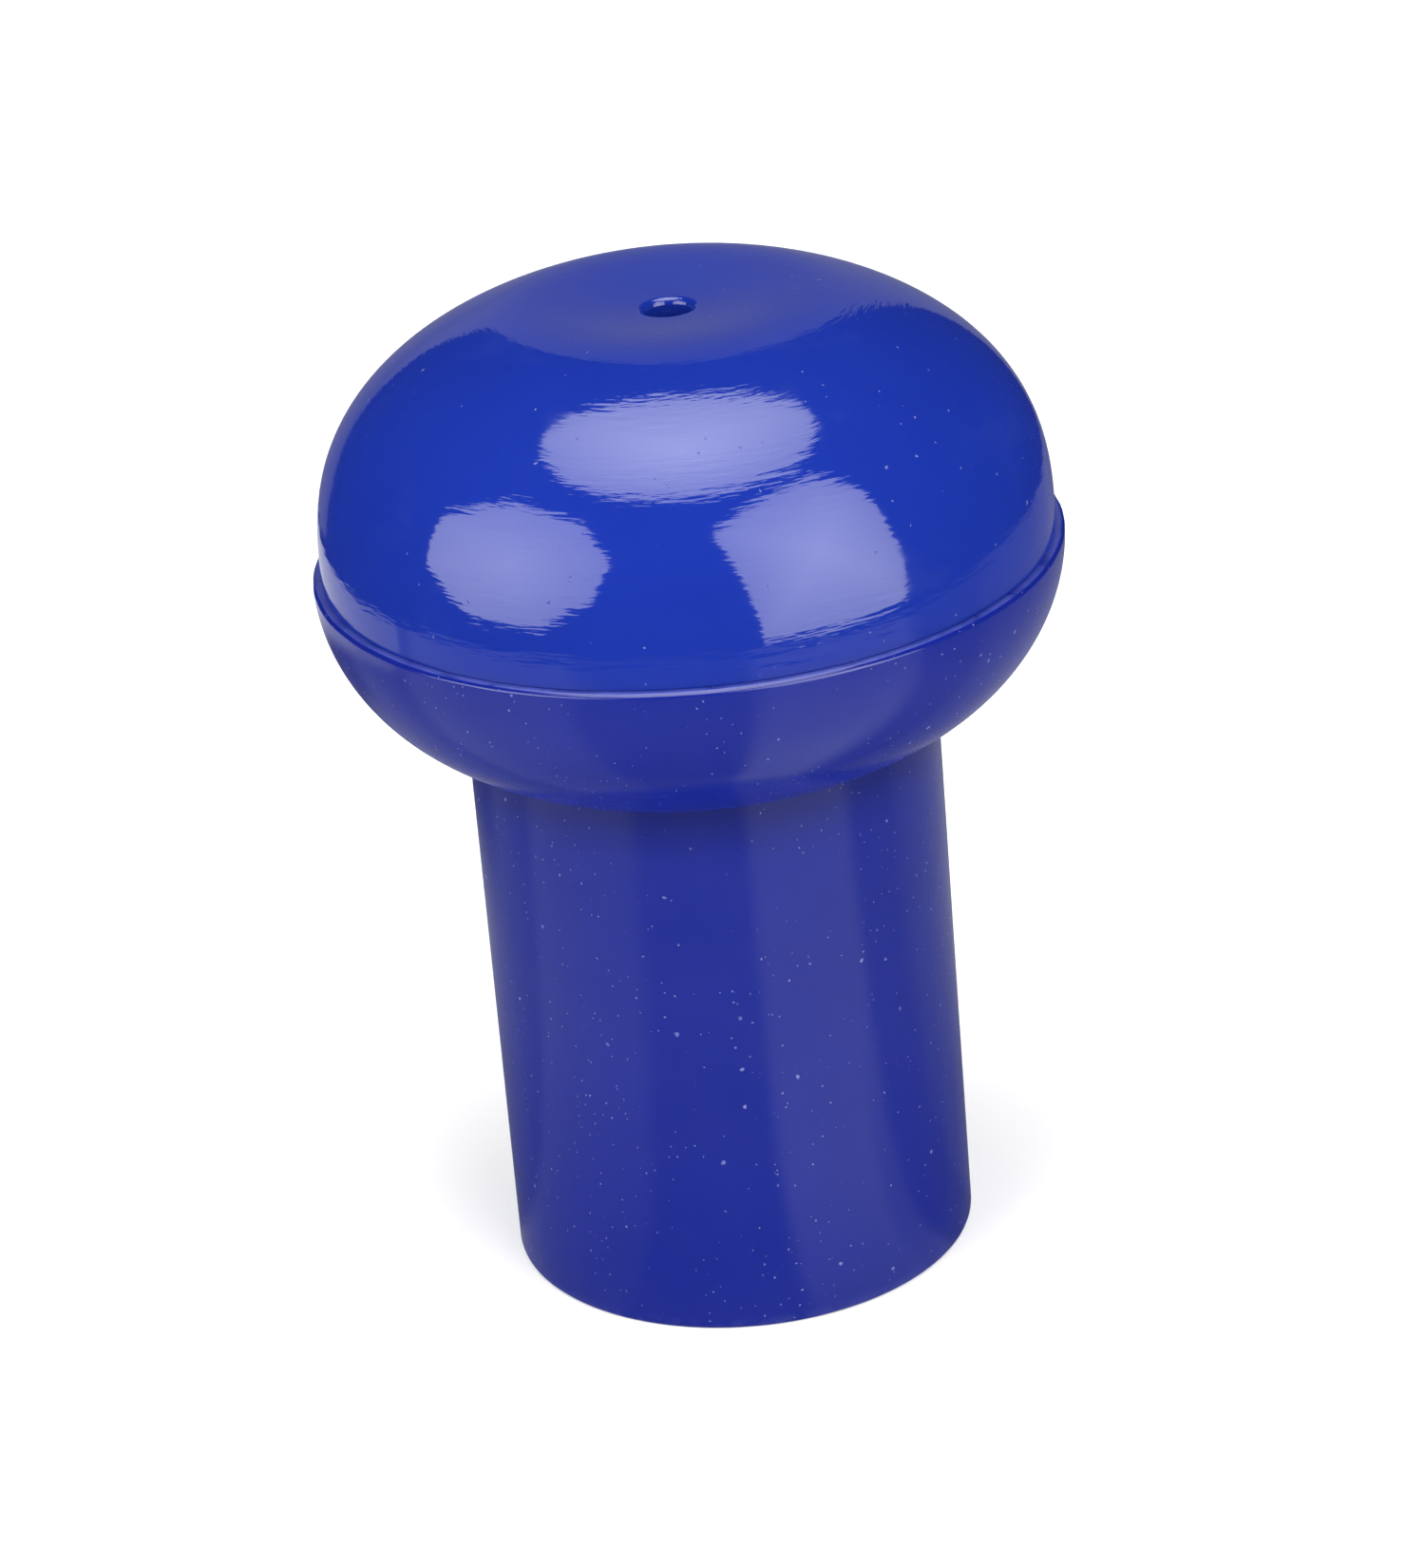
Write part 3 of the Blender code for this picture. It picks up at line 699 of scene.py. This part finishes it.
def table_glow(azimuth, out):
    """How bright the tabletop is at an azimuth in degrees and a distance out from the bulb in metres."""
    right = between(azimuth, 15, 64)                # the stripes where the side lights fall
    left = between(azimuth, -92, -36)
    level = 0.25 + 0.42 * right + (0.22 + 0.14 * smooth(out, 0.06, 0.10)) * left
    level += 0.08 * between(azimuth, 92, 150) - 0.05 * smooth(azimuth, 64, 100)
    level *= 1.25 - 0.35 * smooth(out, 0.04, 0.13)
    shaded_to = 0.05 - 0.026 * between(azimuth, 15, 55)
    level *= 0.38 + 0.62 * smooth(out, 0.012, shaded_to)
    at_foot = 1 - smooth(out, 0.0142, 0.017)        # light that creeps under the rounded foot
    level += 0.14 * at_foot * between(azimuth, -40, 40, 12)
    far_left = 1 - smooth(azimuth, -130, -115)
    level *= 1 - 0.65 * far_left * smooth(out, 0.050, 0.064)
    card = (1 - smooth(azimuth, -98, -95)) * smooth(out, 0.088, 0.096)
    return level + (CARD_GLOW - level) * card       # a bright card lies behind on the left


def joined(made, rings):
    """Faces between each ring of vertices and the next one out."""
    for inner, outer in zip(rings, rings[1:]):
        count = len(inner)
        for i in range(count):
            k = (i + 1) % count
            made.faces.new((inner[i], outer[i], outer[k], inner[k]))


def make_table():
    """What glossy surfaces see of the tabletop: a lit patch that the camera itself doesn't see."""
    sectors, rings, lift = 180, 14, 0.02 * MM
    made = bmesh.new()
    glow = made.verts.layers.float.new("glow")
    rows = []
    for j in range(rings + 1):
        row = []
        for i in range(sectors):
            azimuth = -180 + 360 * i / sectors
            out = table_edge(azimuth) * max(j / rings, 0.001)
            turn = radians(azimuth)
            vertex = made.verts.new((out * sin(turn), -out * cos(turn), lift))
            vertex[glow] = table_glow(azimuth, out)
            row.append(vertex)
        rows.append(row)
    joined(made, rows)
    mesh = bpy.data.meshes.new("table_glow")
    made.to_mesh(mesh)
    made.free()
    staged("table_glow", mesh, glowing("table_glow"), camera=False, diffuse=False, shadow=False)


def make_floor():
    """A plain pale floor, pale far from the lights too, and a surround for views that look past it."""
    white = bpy.data.materials.new("floor_white")
    white.use_nodes = True
    shader = white.node_tree.nodes["Principled BSDF"]
    shader.inputs["Base Color"].default_value = (0.72, 0.72, 0.72, 1)
    shader.inputs["Roughness"].default_value = 0.9
    shader.inputs["Emission Color"].default_value = (1, 1, 1, 1)
    source = white.node_tree.nodes.new("ShaderNodeAttribute")
    source.attribute_name = "glow"
    white.node_tree.links.new(source.outputs["Fac"], shader.inputs["Emission Strength"])
    made = bmesh.new()
    glow = made.verts.layers.float.new("glow")
    rings = []
    for radius, level in ((0.5, FLOOR_GLOW), (1.4, FAR_GLOW), (4.0, FAR_GLOW)):
        rings.append([made.verts.new((x, y, 0)) for x, y in regular(radius, FLOOR_STEPS)])
        for vertex in rings[-1]:
            vertex[glow] = level
    made.faces.new(rings[0])
    joined(made, rings)
    mesh = bpy.data.meshes.new("floor")
    made.to_mesh(mesh)
    made.free()
    staged("floor", mesh, white, glossy=False)

    made = bmesh.new()
    bmesh.ops.create_icosphere(made, subdivisions=4, radius=6.0)
    glow = made.verts.layers.float.new("glow")
    for vertex in made.verts:
        vertex[glow] = FAR_GLOW
    mesh = bpy.data.meshes.new("surround")
    made.to_mesh(mesh)
    made.free()
    staged("surround", mesh, glowing("surround"), glossy=False, diffuse=False, shadow=False)


def make_lights():
    """One soft light overhead, one on each side in front, and a dim card behind the bulb."""
    reach = 0.6
    panel("overhead_light", 0, 86, reach, cushion(0.315, 0.272), 7.7, 4.2)
    panel("left_light", -58, 19, reach, regular(0.36, 8, pi / 8), 5.9, 3.9)

    # a tall softbox with a pitched top and a slanted outer side
    gable = [(-0.27, -0.46), (0.345, -0.44), (0.262, 0.0), (0.255, 0.30), (0.17, 0.475)]
    gable += [(-0.06, 0.425), (-0.295, 0.315)]
    panel("right_light", 41, 19, reach, gable, 6.6, 4.0)

    # a card with a straight left side and a hump that slopes down to the right
    left, foot = -0.122, -0.2
    card = [(left, foot), (left, 0.134), (-0.1, 0.25), (-0.05, 0.32), (0.0, 0.335), (0.035, 0.29)]
    card += [(0.068, 0.194), (0.094, 0.087), (0.127, 0.012), (0.2, -0.062), (0.26, -0.12), (0.26, foot)]
    panel("back_card", 180, 10, 0.35, card, 0.24, lambda y: 0.20 if y < 0 else 0.34)

    world = bpy.data.worlds.new("room")
    world.use_nodes = True
    world.node_tree.nodes["Background"].inputs["Color"].default_value = (0.02, 0.02, 0.025, 1)
    bpy.context.scene.world = world


def make_camera():
    """The viewing angle: a little above the head, with the bulb leaning to the left at the top."""
    camera = bpy.data.cameras.new("camera")
    camera.lens, camera.sensor_width = LENS, SENSOR
    camera.clip_start, camera.clip_end = 0.01, 20
    made = bpy.data.objects.new("camera", camera)
    bpy.context.scene.collection.objects.link(made)
    pitch, roll = radians(CAMERA_PITCH), radians(CAMERA_ROLL)
    made.location = CAMERA_PLACE
    turn = Matrix.Rotation(pi / 2 - pitch, 3, "X") @ Matrix.Rotation(-roll, 3, "Z")
    made.rotation_euler = turn.to_euler()
    bpy.context.scene.camera = made


def main():
    make_camera()
    whites, grey_dust = ((0.62, 0.62, 0.59), (0.74, 0.74, 0.71)), (0.35, 0.34, 0.32)
    white = moulding_look("natural_white_plastic", *whites, 0.42, grey_dust)
    blue = moulding_look("semi_gloss_blue_plastic", *BODY_BLUES, 0.22, DUST)
    make_body(body_look())
    make_dome(dome_look())
    make_vent_bush(blue)
    make_clamp_ring(white)
    make_filter_housing(white)
    make_membrane(membrane_look())
    make_o_ring(nitrile_look())
    make_seal(silicone_look())
    make_collar(blue)
    make_floor()
    make_table()
    make_lights()
    bpy.context.scene.view_settings.view_transform = "Standard"


main()
